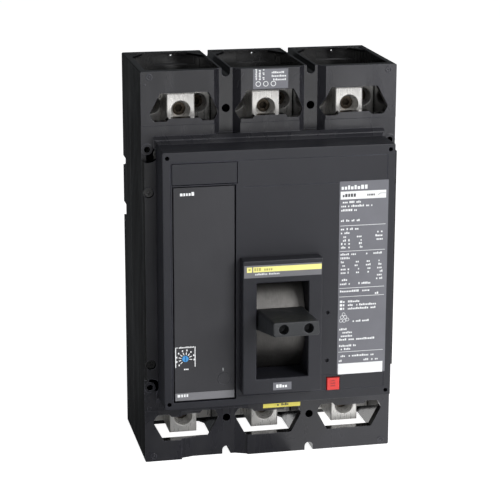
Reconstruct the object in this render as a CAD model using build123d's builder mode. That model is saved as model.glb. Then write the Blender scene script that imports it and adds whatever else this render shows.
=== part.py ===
from build123d import *
import os
from math import asin, cos, degrees, radians, sin, sqrt

# Three-pole molded case circuit breaker, about 800 A.
# Frame: origin at the centre of the rear mounting face, +X right, +Z up (towards the line end),
# and the front of the breaker faces -Y. "Depth" below is the distance in front of the mounting
# face, so y = -depth. All lengths are in millimetres.

# ---------------------------------------------------------------- driving dimensions
case_width = 210.0
case_height = 328.0
corner_radius = 1.2
pole_pitch = 70.0
base_depth = 42.0
lug_cover_depth = 103.0
middle_depth = 110.0
cover_depth = 140.0
escutcheon_depth = 152.0

floor_depth = 8.0            # thickness of the rear wall
front_wall = 5.0             # wall of the middle section
lug_wall = 8.0               # wall of the lug covers
well_half = 30.0             # half width of a lug well
well_bottom = 108.0          # height at which a lug well starts
lip_depth = 16.0             # thick rear lip along the load edge
lip_z = -148.5
chamber_half = 31.0          # half width of a contact chamber
chamber_top = 102.0          # half height of the contact chambers

mounting_x = 35.0            # mounting holes, 70 x 263 pattern
mounting_z = 131.5
mounting_radius = 3.3
notch_width = 7.0            # barrier slots in the top and bottom edges
notch_depth = 7.0

strip_x = 95.0               # the screw strips lie outside this
bevel_z = 112.0
bevel_ledge = (106.3, 109.4, 108.7)   # depth and heights of the narrow ledge in the bevel
crease_z = (-119.4, 120.4)   # the lug covers are set back slightly between here and the bevel
crease_depth = 102.5
channel_half = 11.0          # channels between the poles, line end
channel_floor_half = 5.5
channel_depth = 96.0
recess_top_z = -121.5        # wide recess across poles 1 and 2, load end: (x, depth) of its outline
recess_profile = ((-74.0, 100.0), (-63.5, 97.4), (-28.0, 97.4), (-18.0, 101.5))
case_screw_x = 100.4
case_head_back = middle_depth - 3.6   # seat of the screw heads, below the surface
case_screw_z = (67.8, -76.5)
post_hole_z = (101.6, -98.6)
post_pocket = 9.5
screw_boss = 4.6
ejector_x = 98.2             # ringed ejector marks, and the small ones as (x, z)
ejector_z = 159.6
ejector_dots = ((-101.7, 153.5), (102.3, 129.3))
ejector_disc = (-101.2, -117.3)
side_notches = ((68.0, 76.0), (24.0, 36.0))

lug_height = 28.0
lug_start = {"line": 115.0, "load": 118.0}
lug_tongue_z = 109.0
lug_fixing_z = 111.6
lug_back = 20.0
lug_side_front = 55.0
lug_centre_front = 86.0
lug_half = 29.5
lug_centre_half = 11.5
barrel_x = 19.5              # side barrels, either side of the centre barrel
side_bore_depth = 33.0
centre_bore_depth = 62.0
wire_radius = 8.5
screw_tip_radius = 4.6
set_screw_radius = 5.4
set_screw_seat = 1.5         # shoulder of the screw hole, in front of the wire bore
set_screw_length = 4.0       # without its tip
screw_mouth_radius = 8.3     # the screw hole flares out to this at the front of the lug
screw_mouth_length = 8.0
fixing_x = 7.0               # screws that hold the lug to its strap, between the side bores
fixing_radius = 2.5
fixing_head_radius = 3.2

strap_depth = (14.0, 20.0)
strap_half = 22.0
load_strap_half = 14.0
strap_end_z = 143.0
strap_bend_z = 108.0
fixed_contact_z = (60.0, 72.0)
load_post_z = (-66.0, -56.0)  # where the load strap turns forwards to meet the shunt
shunt_depth = (27.0, 29.5)
shunt_half = 12.0

cover_half = 94.6            # accessory cover
cover_half_height = 106.2
cover_wall = 3.0
cover_screw_x = 90.5
cover_screw_z = 101.5
blank_panel_thickness = 2.0
groove_depth = 0.45          # shallow lines moulded into the cover

handle_pivot_depth = 95.0
handle_pivot_z = -40.4
handle_rest = 8.6            # tripped position, degrees above square to the case
handle_swing = 28.0          # ON and OFF are this far above and below
slider_radius = 48.0
slider_half = 20.9
window_half = 21.3           # handle window
window_half_height = 40.1
escutcheon_half = 32.7
escutcheon_z = (-93.5, 18.6)

handle_tip = 105.0           # distances from the handle pivot
handle_root = 48.3
handle_shank = 41.0
shank_width = 30.0
shank_height = 12.0
slider_wall = 2.0
slider_reach = 84.0          # degrees of slider on each side of the handle
collar_half = 24.0
collar_half_height = 42.8
collar_end_depth = 123.0
collar_side_depth = 112.0
yoke_arm_x = (17.0, 19.5)
pivot_pin_radius = 3.0
mechanism_opening_z = (-98.4, 17.6)

crossbar_depth = 50.0
crossbar_z = -25.0
crossbar_radius = 10.0
arm_travel = 30.0            # degrees between the closed and open contact arm
arm_ratio = arm_travel / (2 * handle_swing)
arm_open_at_rest = arm_ratio * (handle_swing - handle_rest)
arm_tip = 99.0               # length of a contact arm from the crossbar axis
fixed_contact_face = 23.0
contact_gap = 0.3            # left between the contacts when closed
arc_chute_z = (79.0, 98.0)
arc_chute_half = 24.0
arc_plates = 12
arc_plate_pitch = 6.0
transformer_z = (-98.0, -72.0)
cradle_depth = 80.0
cradle_z = (-68.0, -14.0)
plate_x = (22.0, 24.0)       # side plates of the mechanism
lever_reach = 20.0           # pin of the crossbar lever
lever_rise = 60.0
knee_offset = (32.0, -10.3)  # knee pin of the toggle, forwards of and above the lever pin
spring_seat = 34.0           # distance from the handle pivot to the spring hooks
spring_turns = 12

trip_unit_x = (-85.9, -36.6)
trip_unit_z = (-99.3, 77.6)
blank_panel_x = (-86.8, -34.8)
blank_panel_z = (79.8, 96.6)
trip_gap = 1.0
panel_gap = 0.5
trip_back_face = 137.0
trip_face_depth = 139.2
board_depth = (127.0, 128.6)
dial_x = -77.1
dial_z = -63.4
dial_radius = 2.6
button_x = 45.5
button_z = -92.6
button_half = 5.2
button_gap = 0.6
button_depth = 141.3
flange_depth = 136.9
guide_depth = (121.5, 123.5)
stem_radius = 2.5
spring_wire = 0.45
stem_z = button_z + 2.7
stem_tip_radius = 1.6
spring_radius = 3.5
paddle_depth = (118.0, 120.0)
status_x = (-46.6, -45.6)
status_z = (-75.9, -73.1)
test_mark = (-45.0, -82.4)
trip_bar_depth = 115.5
trip_bar_z = -98.5
trip_bar_radius = 2.5

poles = {1: -pole_pitch, 2: 0.0, 3: pole_pitch}
ends = {"line": 1, "load": -1}

os.makedirs("parts", exist_ok=True)


# ---------------------------------------------------------------- small helpers
def front(depth):
    """Plane parallel to the mounting face; extruding from it goes forwards."""
    return Plane.XZ.offset(depth)


def span(a, b):
    """The two values in rising order."""
    return (min(a, b), max(a, b))


def widened(limits, gap):
    """The two limits moved apart by a gap on each side."""
    return (limits[0] - gap, limits[1] + gap)


def around(centre, half):
    """Limits on both sides of a centre."""
    return (centre - half, centre + half)


def block(x, depth, z, mode=Mode.ADD):
    """Box between two x values, two depths and two heights."""
    with Locations((sum(x) / 2, -sum(depth) / 2, sum(z) / 2)):
        Box(x[1] - x[0], depth[1] - depth[0], z[1] - z[0], mode=mode)


def mirrored_block(x, depth, z, mode=Mode.ADD):
    """A box at +x and its twin at -x."""
    block(x, depth, z, mode)
    block((-x[1], -x[0]), depth, z, mode)


def rod_x(radius, x, depth, z, mode=Mode.ADD):
    """Cylinder along X."""
    with Locations((sum(x) / 2, -depth, z)):
        Cylinder(radius, x[1] - x[0], rotation=(0, 90, 0), mode=mode)


def rod_y(radius, x, depth, z, mode=Mode.ADD):
    """Cylinder from front to back."""
    with Locations((x, -sum(depth) / 2, z)):
        Cylinder(radius, depth[1] - depth[0], rotation=(90, 0, 0), mode=mode)


def flare_y(radii, x, depth, z, mode=Mode.ADD):
    """Cone from front to back, with its rear and front radii."""
    with Locations((x, -sum(depth) / 2, z)):
        Cone(radii[0], radii[1], depth[1] - depth[0], rotation=(90, 0, 0), mode=mode)


def rod_z(radius, x, depth, z, mode=Mode.ADD):
    """Cylinder along Z."""
    with Locations((x, -depth, sum(z) / 2)):
        Cylinder(radius, z[1] - z[0], mode=mode)


def swing_plane(x, depth, z, rise):
    """Plane square to X whose x axis points forwards, tilted up by `rise` degrees."""
    tilt = radians(rise)
    return Plane(origin=(x, -depth, z), x_dir=(0, -cos(tilt), sin(tilt)), z_dir=(1, 0, 0))


def save(piece, node):
    piece.part.label = node
    export_step(piece.part, f"parts/{node}.step")


def mounting_cuts(depth):
    """Mounting holes and barrier slots that run from front to back between the poles."""
    for x in (-mounting_x, mounting_x):
        for side in (-1, 1):
            rod_y(mounting_radius, x, depth, side * mounting_z, Mode.SUBTRACT)
            edge = side * case_height / 2
            root = edge - side * (notch_depth - notch_width / 2)
            slot = (x - notch_width / 2, x + notch_width / 2)
            block(slot, depth, span(root, edge + side), Mode.SUBTRACT)
            rod_y(notch_width / 2, x, depth, root, Mode.SUBTRACT)


# ---------------------------------------------------------------- base case
with BuildPart() as base_case:
    with BuildSketch(front(0)):
        RectangleRounded(case_width, case_height, corner_radius)
    extrude(amount=base_depth)
    chamfer(base_case.faces().sort_by(Axis.Y)[-1].outer_wire().edges(), 0.8)
    for pole_x in poles.values():
        for side in (-1, 1):
            well = span(side * well_bottom, side * (case_height / 2 + 1))
            block(around(pole_x, well_half), (floor_depth, base_depth + 1), well, Mode.SUBTRACT)
        block(around(pole_x, chamber_half), (floor_depth, base_depth + 1), (-chamber_top, chamber_top),
              Mode.SUBTRACT)
    for pole_x in poles.values():
        for side in (-1, 1):
            # slot that lets the strap through the partition
            slot_half = strap_half + 0.3
            block((pole_x - slot_half, pole_x + slot_half), (strap_depth[0], strap_depth[1] + 0.3),
                  span(side * 100, side * 110), Mode.SUBTRACT)
    for pole_x in poles.values():
        # line end: recess with a small hole in the rear wall; load end: thick lip along the edge
        block((pole_x - 8, pole_x + 26), (floor_depth - 3.5, floor_depth), (153.5, 162), Mode.SUBTRACT)
        rod_y(1.1, pole_x + 6.4, (-1, floor_depth), 160.8, Mode.SUBTRACT)
        block(around(pole_x, well_half), (floor_depth, lip_depth), (-case_height / 2, lip_z))
    mounting_cuts((-1, base_depth + 1))
    # finger notches in the rear corners of both sides
    for low, high in side_notches:
        mirrored_block((case_width / 2 - 4, case_width / 2 + 1), (-1, 14), (low, high), Mode.SUBTRACT)
    # bosses with blind holes for the threaded inserts of the case screws, and the crossbar passages
    for x in (-case_screw_x, case_screw_x):
        for z in case_screw_z:
            rod_y(screw_boss, x, (floor_depth, base_depth), z)
            rod_y(2.8, x, (22, base_depth + 1), z, Mode.SUBTRACT)
    rod_x(crossbar_radius + 1, (-45, 45), crossbar_depth, crossbar_z, Mode.SUBTRACT)
save(base_case, "base_case")


# ---------------------------------------------------------------- well supports
strap_pads = {1: [(62, 102), (108, 144)], -1: [(-144, -108), (-70, -58)]}
gusset = (11.0, 16.0)        # legs of the corner gussets at the open end of each well
gusset_thickness = 2.0
gusset_low = {1: 161.5, -1: -163.5}
with BuildPart() as well_supports:
    for pole_x in poles.values():
        for side in (-1, 1):
            for low, high in strap_pads[side]:
                block(around(pole_x, load_strap_half), (floor_depth, strap_depth[0]), (low, high))
            # at the load end the gussets stand on the thick lip
            foot = floor_depth if side > 0 else lip_depth
            tip = floor_depth + gusset[1]
            leg = gusset[0] * (tip - foot) / gusset[1]
            for hand in (-1, 1):
                corner = pole_x + hand * well_half
                with BuildSketch(Plane.XY.offset(gusset_low[side])):
                    with BuildLine():
                        Polyline((corner, -foot), (corner - hand * leg, -foot), (corner, -tip), close=True)
                    make_face()
                extrude(amount=gusset_thickness)
save(well_supports, "well_supports")


# ---------------------------------------------------------------- front case
def window_outline(side):
    """Lug window: narrow towards the end of the case, with a raised tab on its inner edge."""
    right = [(12.5, 125.8), (14.5, 123.4), (24.7, 123.4), (28.3, 129.8), (19.4, 146.6)]
    left = [(-x, z) for x, z in reversed(right)]
    return [(x, side * z) for x, z in right + left]


with BuildPart() as front_case:
    with BuildSketch(front(base_depth)):
        RectangleRounded(case_width, case_height, corner_radius)
    extrude(amount=lug_cover_depth - base_depth)
    block((-case_width, case_width), (crease_depth, lug_cover_depth + 1), crease_z, Mode.SUBTRACT)
    # raised middle section with bevelled ends
    with BuildSketch(Plane.YZ.offset(-strip_x)):
        with BuildLine():
            Polyline((-crease_depth, -bevel_z), (-bevel_ledge[0], -bevel_ledge[1]),
                     (-bevel_ledge[0], -bevel_ledge[2]), (-middle_depth, -cover_half_height),
                     (-middle_depth, cover_half_height), (-bevel_ledge[0], bevel_ledge[2]),
                     (-bevel_ledge[0], bevel_ledge[1]), (-crease_depth, bevel_z), close=True)
        make_face()
    extrude(amount=2 * strip_x)
    mirrored_block((strip_x, case_width / 2), (lug_cover_depth, middle_depth), (-99, 102))
    for x in (-case_screw_x, case_screw_x):
        for z in post_hole_z:
            rod_y(post_pocket, x, (lug_cover_depth, middle_depth + 1), z, Mode.SUBTRACT)
    for side in (0, -1):
        flank = front_case.faces().filter_by(Axis.X).group_by(Axis.X)[side]
        chamfer(flank.edges().filter_by(Axis.Z).group_by(Axis.Y)[0], 1.2)
    # channels between the poles at the line end, one wide recess at the load end
    for x in (-mounting_x, mounting_x):
        with BuildSketch(Plane.XY.offset(bevel_z)):
            with BuildLine():
                Polyline((x - channel_half, -lug_cover_depth - 0.01),
                         (x - channel_floor_half, -channel_depth), (x + channel_floor_half, -channel_depth),
                         (x + channel_half, -lug_cover_depth - 0.01), close=True)
            make_face()
        extrude(amount=case_height / 2 - bevel_z + 1, mode=Mode.SUBTRACT)
    with BuildSketch(Plane.XY.offset(recess_top_z)):
        with BuildLine():
            Polyline((recess_profile[0][0], -lug_cover_depth - 1),
                     *[(x, -depth) for x, depth in recess_profile],
                     (recess_profile[-1][0], -lug_cover_depth - 1), close=True)
        make_face()
    extrude(amount=-(case_height / 2 + recess_top_z + 1), mode=Mode.SUBTRACT)
    # lug wells, open at the ends, and the windows over the set screws
    for pole_x in poles.values():
        for side in (-1, 1):
            well = span(side * well_bottom, side * (case_height / 2 + 1))
            block(around(pole_x, well_half), (base_depth - 1, lug_cover_depth - lug_wall), well,
                  Mode.SUBTRACT)
            with BuildSketch(front(lug_cover_depth - lug_wall - 1)) as window:
                with BuildLine():
                    Polyline(*[(pole_x + x, z) for x, z in window_outline(side)], close=True)
                make_face()
                outer_corners = window.vertices().sort_by(Axis.X)
                fillet(outer_corners[:2] + outer_corners[-2:], 3.2)
            extrude(amount=lug_wall + 2, mode=Mode.SUBTRACT)
    # contact chambers
    for pole_x in poles.values():
        block(around(pole_x, chamber_half), (base_depth - 1, middle_depth - front_wall),
              (-chamber_top, chamber_top), Mode.SUBTRACT)
    # bosses for the case screws and the accessory cover screws
    for x in (-1, 1):
        for z in case_screw_z:
            rod_y(screw_boss, x * case_screw_x, (base_depth, middle_depth - front_wall), z)
        for z in post_hole_z:
            rod_y(screw_boss, x * case_screw_x, (78, lug_cover_depth), z)
        for z in (-cover_screw_z, cover_screw_z):
            rod_y(4, x * cover_screw_x, (96, middle_depth - front_wall), z)
    for x in (-1, 1):
        for z in case_screw_z:
            rod_y(2.5, x * case_screw_x, (base_depth - 1, middle_depth + 1), z, Mode.SUBTRACT)
            rod_y(4.3, x * case_screw_x, (case_head_back, middle_depth + 1), z, Mode.SUBTRACT)
        for z in post_hole_z:
            rod_y(2.5, x * case_screw_x, (82, middle_depth + 1), z, Mode.SUBTRACT)
        for z in (-cover_screw_z, cover_screw_z):
            rod_y(1.4, x * cover_screw_x, (99, middle_depth + 1), z, Mode.SUBTRACT)
    # handle and linkage opening, wiring slot under the trip unit, crossbar passages
    through_wall = (middle_depth - front_wall - 1, middle_depth + 1)
    block((-28, 28), through_wall, mechanism_opening_z, Mode.SUBTRACT)
    block((-80, -45), through_wall, (-92, -78), Mode.SUBTRACT)
    rod_x(crossbar_radius + 1, (-45, 45), crossbar_depth, crossbar_z, Mode.SUBTRACT)
    mounting_cuts((base_depth - 1, middle_depth + 1))
    # ejector marks on the lug covers
    for x in (-ejector_x, ejector_x):
        for z in (-ejector_z, ejector_z):
            rod_y(2.7, x, (lug_cover_depth, lug_cover_depth + 0.4), z)
            rod_y(1.7, x, (lug_cover_depth, lug_cover_depth + 0.6), z, Mode.SUBTRACT)
            rod_y(0.7, x, (lug_cover_depth, lug_cover_depth + 0.4), z)
    for x, z in ejector_dots:
        rod_y(0.8, x, (lug_cover_depth, lug_cover_depth + 0.3), z)
    rod_y(1.8, ejector_disc[0], (crease_depth, crease_depth + 0.3), ejector_disc[1])
save(front_case, "front_case")

# ---------------------------------------------------------------- accessory cover
with BuildPart() as accessory_cover:
    with BuildSketch(front(middle_depth)):
        RectangleRounded(2 * cover_half, 2 * cover_half_height, 1.5)
    extrude(amount=cover_depth - middle_depth)
    fillet(accessory_cover.faces().sort_by(Axis.Y)[0].outer_wire().edges(), 0.8)
    inner_half = cover_half - cover_wall
    inner_height = cover_half_height - cover_wall
    block((-inner_half, inner_half), (middle_depth - 1, cover_depth - cover_wall),
          (-inner_height, inner_height), Mode.SUBTRACT)
    # corner posts with deep screw holes
    for x in (-cover_screw_x, cover_screw_x):
        for z in (-cover_screw_z, cover_screw_z):
            rod_y(4.0, x, (middle_depth, cover_depth - cover_wall), z)
            rod_y(1.75, x, (middle_depth - 1, cover_depth + 1), z, Mode.SUBTRACT)
    # trip unit opening, seat of the blank panel, handle collar opening, button hole
    through_wall = (cover_depth - cover_wall - 1, cover_depth + 1)
    panel_seat = (cover_depth - blank_panel_thickness - 0.2, cover_depth + 1)
    collar_z = (handle_pivot_z - collar_half_height, handle_pivot_z + collar_half_height)
    block(widened(trip_unit_x, trip_gap), through_wall, widened(trip_unit_z, trip_gap), Mode.SUBTRACT)
    block(widened(blank_panel_x, panel_gap), panel_seat, widened(blank_panel_z, panel_gap), Mode.SUBTRACT)
    block(widened((-collar_half, collar_half), 0.3), through_wall, widened(collar_z, 0.3), Mode.SUBTRACT)
    button_hole = button_half + button_gap
    block(around(button_x, button_hole), through_wall, around(button_z, button_hole), Mode.SUBTRACT)
    # shallow lines moulded into the front: a frame near the edge and the panel lines
    groove = (cover_depth - groove_depth, cover_depth + 1)
    frame_x = cover_half - 6.2
    frame_z = cover_half_height - 8.2
    with BuildSketch(front(groove[0])):
        Rectangle(2 * frame_x, 2 * frame_z)
        Rectangle(2 * frame_x - 1.1, 2 * frame_z - 1.1, mode=Mode.SUBTRACT)
    extrude(amount=1, mode=Mode.SUBTRACT)
    block((-29.5, frame_x), groove, (76.0, 76.6), Mode.SUBTRACT)
    block((escutcheon_half, frame_x), groove, (-84.9, -84.3), Mode.SUBTRACT)
    for z in (-31.6, -72.4):
        rod_y(1.7, 40.1, (cover_depth - 2.5, cover_depth + 1), z, Mode.SUBTRACT)
save(accessory_cover, "accessory_cover")

with BuildPart() as blank_panel:
    block(blank_panel_x, (panel_seat[0], panel_seat[0] + blank_panel_thickness), blank_panel_z)
    chamfer(blank_panel.faces().sort_by(Axis.Y)[0].edges(), 0.3)
save(blank_panel, "blank_panel")

# ---------------------------------------------------------------- handle escutcheon
with BuildPart() as handle_escutcheon:
    with BuildSketch(front(cover_depth)):
        with Locations((0, sum(escutcheon_z) / 2)):
            RectangleRounded(2 * escutcheon_half, escutcheon_z[1] - escutcheon_z[0], 1.2)
    extrude(amount=escutcheon_depth - cover_depth)
    fillet(handle_escutcheon.faces().sort_by(Axis.Y)[0].outer_wire().edges(), 1.1)
    # collar: the side walls reach down beside the slider, the end walls stop above it
    block((-collar_half, collar_half), (collar_end_depth, cover_depth), collar_z)
    mirrored_block((window_half, collar_half), (collar_side_depth, collar_end_depth), collar_z)
    block((-window_half, window_half), (collar_end_depth - 1, escutcheon_depth + 1),
          around(handle_pivot_z, window_half_height), Mode.SUBTRACT)
    rim = handle_escutcheon.faces().filter_by(Axis.Y).sort_by(Axis.Y)[0]
    chamfer(rim.inner_wires()[0].edges(), 0.6)
save(handle_escutcheon, "handle_escutcheon")


# ---------------------------------------------------------------- handle, slider and yoke
def handle_plane(radius):
    """Plane square to the handle, at a distance from the handle pivot."""
    rise = radians(handle_rest)
    origin = (0, -handle_pivot_depth - radius * cos(rise), handle_pivot_z + radius * sin(rise))
    return Plane(origin=origin, x_dir=(1, 0, 0), z_dir=(0, -cos(rise), sin(rise)))


with BuildPart() as handle:
    with BuildSketch(handle_plane(handle_root)):
        RectangleRounded(40.6, 17.4, 2.5)
    with BuildSketch(handle_plane(handle_tip)):
        RectangleRounded(37.0, 11.5, 2.0)
    loft()
    tip = handle.faces().sort_by(Axis.Y)[0]
    fillet(tip.edges(), 1.1)
    with BuildSketch(handle_plane(handle_shank)):
        Rectangle(shank_width, shank_height)
    extrude(amount=handle_root - handle_shank)
    with BuildSketch(handle_plane(handle_tip + 1)):
        with Locations((-10, 0), (10, 0)):
            Circle(3.9)
    extrude(amount=-15, mode=Mode.SUBTRACT)
save(handle, "handle")

with BuildPart() as handle_slider:
    with BuildSketch(Plane.YZ.offset(-slider_half)):
        centre = (-handle_pivot_depth, handle_pivot_z)
        first = 180 - handle_rest - slider_reach
        with BuildLine():
            outer = CenterArc(centre, slider_radius, first, 2 * slider_reach)
            inner = CenterArc(centre, slider_radius - slider_wall, first, 2 * slider_reach)
            Line(outer @ 0, inner @ 0)
            Line(outer @ 1, inner @ 1)
        make_face()
    extrude(amount=2 * slider_half)
    with BuildSketch(handle_plane(handle_shank)):
        Rectangle(shank_width + 0.1, shank_height + 0.1)
    extrude(amount=handle_root - handle_shank, mode=Mode.SUBTRACT)
save(handle_slider, "handle_slider")

with BuildPart() as handle_yoke:
    for x in (-yoke_arm_x[1], yoke_arm_x[0]):
        with BuildSketch(swing_plane(x, handle_pivot_depth, handle_pivot_z, handle_rest)):
            Circle(8)
            with Locations((handle_shank / 2, 0)):
                Rectangle(handle_shank, 14)
            Circle(pivot_pin_radius + 0.05, mode=Mode.SUBTRACT)
        extrude(amount=yoke_arm_x[1] - yoke_arm_x[0])
    with BuildSketch(handle_plane(handle_shank - 2.5)):
        Rectangle(2 * yoke_arm_x[1], 14)
    extrude(amount=2.5)
save(handle_yoke, "handle_yoke")

with BuildPart() as mechanism_pins:
    rod_x(pivot_pin_radius, (-plate_x[1], plate_x[1]), handle_pivot_depth, handle_pivot_z)
    rod_x(2.5, (-plate_x[1], plate_x[1]), cradle_depth, cradle_z[0])
save(mechanism_pins, "mechanism_pins")

# ---------------------------------------------------------------- trip unit
with BuildPart() as trip_unit_housing:
    block(widened(trip_unit_x, -1), (middle_depth, trip_back_face), widened(trip_unit_z, -1))
    block(widened(trip_unit_x, -3), (middle_depth + 2, trip_back_face + 1), widened(trip_unit_z, -3),
          Mode.SUBTRACT)
    for x in (-82, -41):
        for z in (-92, 70):
            rod_y(2.5, x, (middle_depth + 1, board_depth[0]), z)
save(trip_unit_housing, "trip_unit_housing")

with BuildPart() as trip_circuit_board:
    block((-82.5, -40.5), board_depth, (-94, 72))
    # chips and capacitors
    for x, z, width, height in ((-66, 40, 18, 18), (-66, 5, 14, 14), (-56, -35, 10, 20)):
        block(around(x, width / 2), (board_depth[1], board_depth[1] + 1.8), around(z, height / 2))
    for z in (30, 16, 2):
        rod_y(4.2, -48, (board_depth[1], board_depth[1] + 6.9), z)
save(trip_circuit_board, "trip_circuit_board")

with BuildPart() as trip_unit_face:
    block(trip_unit_x, (trip_back_face, trip_face_depth), trip_unit_z)
    chamfer(trip_unit_face.faces().sort_by(Axis.Y)[0].edges(), 0.35)
    rod_y(dial_radius + 0.06, dial_x, (trip_back_face - 1, trip_face_depth + 1), dial_z, Mode.SUBTRACT)
    rod_y(5.5, test_mark[0], (trip_face_depth, trip_face_depth + 0.3), test_mark[1])
    rod_y(4.9, test_mark[0], (trip_face_depth, trip_face_depth + 1), test_mark[1], Mode.SUBTRACT)
    block(status_x, (trip_back_face - 1, trip_face_depth + 1), status_z, Mode.SUBTRACT)
save(trip_unit_face, "trip_unit_face")

with BuildPart() as status_lens:
    block(status_x, (trip_back_face, trip_face_depth - 0.3), status_z)
save(status_lens, "status_lens")

with BuildPart() as trip_dial:
    rod_y(dial_radius, dial_x, (trip_back_face - 4, trip_face_depth + 0.2), dial_z)
    rod_y(dial_radius + 1.2, dial_x, (trip_back_face - 4, trip_back_face - 1), dial_z)
    block(around(dial_x, 0.4), (trip_face_depth - 0.9, trip_face_depth + 1), around(dial_z, 2), Mode.SUBTRACT)
save(trip_dial, "trip_dial")

# ---------------------------------------------------------------- push-to-trip button and trip bar
flange_half = button_half + 1.2
flange_back = flange_depth - 2.0
with BuildPart() as trip_button:
    block(around(button_x, button_half), (flange_depth, button_depth), around(button_z, button_half))
    fillet(trip_button.faces().sort_by(Axis.Y)[0].edges(), 0.5)
    block(around(button_x, flange_half), (flange_back, flange_depth), around(button_z, flange_half))
    rod_y(stem_radius, button_x, (guide_depth[0], flange_back), stem_z)
    rod_y(stem_tip_radius, button_x, (paddle_depth[1] + 0.3, guide_depth[0]), stem_z)
save(trip_button, "trip_button")

with BuildPart() as button_spring:
    coil_length = flange_back - guide_depth[1] - 2 * spring_wire
    with BuildLine() as coil:
        Helix(pitch=coil_length / 5, height=coil_length, radius=spring_radius,
              center=(button_x, -guide_depth[1] - spring_wire, stem_z), direction=(0, -1, 0))
    with BuildSketch(Plane(origin=coil.line @ 0, z_dir=coil.line % 0)):
        Circle(spring_wire)
    sweep()
save(button_spring, "button_spring")

with BuildPart() as trip_bar:
    rod_x(trip_bar_radius, (-33, 58), trip_bar_depth, trip_bar_z)
    # one paddle behind the button, one in front of the actuator
    for x, top in (((41, 50), -86.5), ((-32, -27), -90)):
        block(x, (trip_bar_depth, paddle_depth[1]), around(trip_bar_z, 1))
        block(x, paddle_depth, (trip_bar_z - 1, top))
save(trip_bar, "trip_bar")

with BuildPart() as trip_brackets:
    # guide of the button's stem, then the two bearings of the trip bar
    block((button_x - 7, 54), guide_depth, (-97, -86))
    block((51.5, 54), (middle_depth, guide_depth[1]), (-95, -86))
    rod_y(stem_radius + 0.2, button_x, (guide_depth[0] - 1, guide_depth[1] + 1), stem_z, Mode.SUBTRACT)
    for x in (-20, 30):
        block((x, x + 4), (middle_depth, trip_bar_depth + 4), (-103, -94.5))
        rod_x(trip_bar_radius + 0.05, (x - 1, x + 5), trip_bar_depth, trip_bar_z, Mode.SUBTRACT)
save(trip_brackets, "trip_brackets")

with BuildPart() as trip_actuator:
    block((-34.8, -25.2), (middle_depth, 131), (-82, -52))
    chamfer(trip_actuator.edges().filter_by(Axis.Z), 0.8)
    rod_z(2, -29.5, 119, (-86, -82))
save(trip_actuator, "trip_actuator")

# ---------------------------------------------------------------- lugs, straps and screws
barrels = ((0.0, centre_bore_depth, lug_centre_front), (-barrel_x, side_bore_depth, lug_side_front),
           (barrel_x, side_bore_depth, lug_side_front))
tongue_front = lug_back + 8.0
for end, side in ends.items():
    inner_end = side * lug_start[end]
    outer_end = side * (lug_start[end] + lug_height)
    screw_z = (inner_end + outer_end) / 2
    for number, pole_x in poles.items():
        with BuildPart() as lug:
            lug_z = span(inner_end, outer_end)
            block(around(pole_x, lug_half), (lug_back, lug_side_front), lug_z)
            block(around(pole_x, lug_centre_half), (lug_side_front, lug_centre_front), lug_z)
            block(around(pole_x, lug_half), (lug_back, tongue_front), span(side * lug_tongue_z, inner_end))
            chamfer(lug.faces().sort_by(Axis.Y)[0].edges(), 0.7)
            for x, depth, face in barrels:
                shoulder = depth + wire_radius + set_screw_seat
                mouth_depth = (face - screw_mouth_length, face + 1)
                rod_z(wire_radius, pole_x + x, depth, widened(lug_z, 1), Mode.SUBTRACT)
                rod_y(screw_tip_radius, pole_x + x, (depth, face + 1), screw_z, Mode.SUBTRACT)
                rod_y(set_screw_radius + 0.1, pole_x + x, (shoulder, face + 1), screw_z, Mode.SUBTRACT)
                flare_y((set_screw_radius + 0.1, screw_mouth_radius), pole_x + x, mouth_depth, screw_z,
                        Mode.SUBTRACT)
            for x in (-fixing_x, fixing_x):
                rod_y(fixing_radius, pole_x + x, (lug_back - 1, tongue_front + 1), side * lug_fixing_z,
                      Mode.SUBTRACT)
        save(lug, f"{end}_lug_{number}")

        with BuildPart() as strap:
            block(around(pole_x, strap_half), strap_depth, span(side * strap_bend_z, side * strap_end_z))
            if side > 0:
                block(around(pole_x, strap_half), strap_depth, (fixed_contact_z[0] - 3, strap_bend_z))
            else:
                block(around(pole_x, load_strap_half), strap_depth, (-strap_bend_z, load_post_z[1]))
                block(around(pole_x, load_strap_half), (strap_depth[1], shunt_depth[0]), load_post_z)
            for x in (-fixing_x, fixing_x):
                rod_y(fixing_radius, pole_x + x, widened(strap_depth, 1), side * lug_fixing_z, Mode.SUBTRACT)
        save(strap, f"{end}_strap_{number}")

    with BuildPart() as binding_screws:
        for pole_x in poles.values():
            for x, depth, face in barrels:
                shoulder = depth + wire_radius + set_screw_seat
                rod_y(set_screw_radius, pole_x + x, (shoulder, shoulder + set_screw_length), screw_z)
                rod_y(screw_tip_radius - 0.2, pole_x + x, (depth + wire_radius + 0.3, shoulder), screw_z)
                with BuildSketch(front(shoulder + 1)):
                    with Locations((pole_x + x, screw_z)):
                        RegularPolygon(3.4, 6)
                extrude(amount=set_screw_length, mode=Mode.SUBTRACT)
    save(binding_screws, f"{end}_binding_screws")

with BuildPart() as lug_fixing_screws:
    head_front = tongue_front + 3.5
    for pole_x in poles.values():
        for side in ends.values():
            for x in (-fixing_x, fixing_x):
                rod_y(fixing_radius, pole_x + x, (strap_depth[0], tongue_front), side * lug_fixing_z)
                rod_y(fixing_head_radius, pole_x + x, (tongue_front, head_front), side * lug_fixing_z)
                with BuildSketch(front(head_front - 2)):
                    with Locations((pole_x + x, side * lug_fixing_z)):
                        RegularPolygon(2.2, 6)
                extrude(amount=3, mode=Mode.SUBTRACT)
save(lug_fixing_screws, "lug_fixing_screws")

# ---------------------------------------------------------------- contacts, crossbar and arc chutes
with BuildPart() as fixed_contacts:
    for pole_x in poles.values():
        block(around(pole_x, 10), (strap_depth[1], fixed_contact_face), fixed_contact_z)
save(fixed_contacts, "fixed_contacts")


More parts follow.
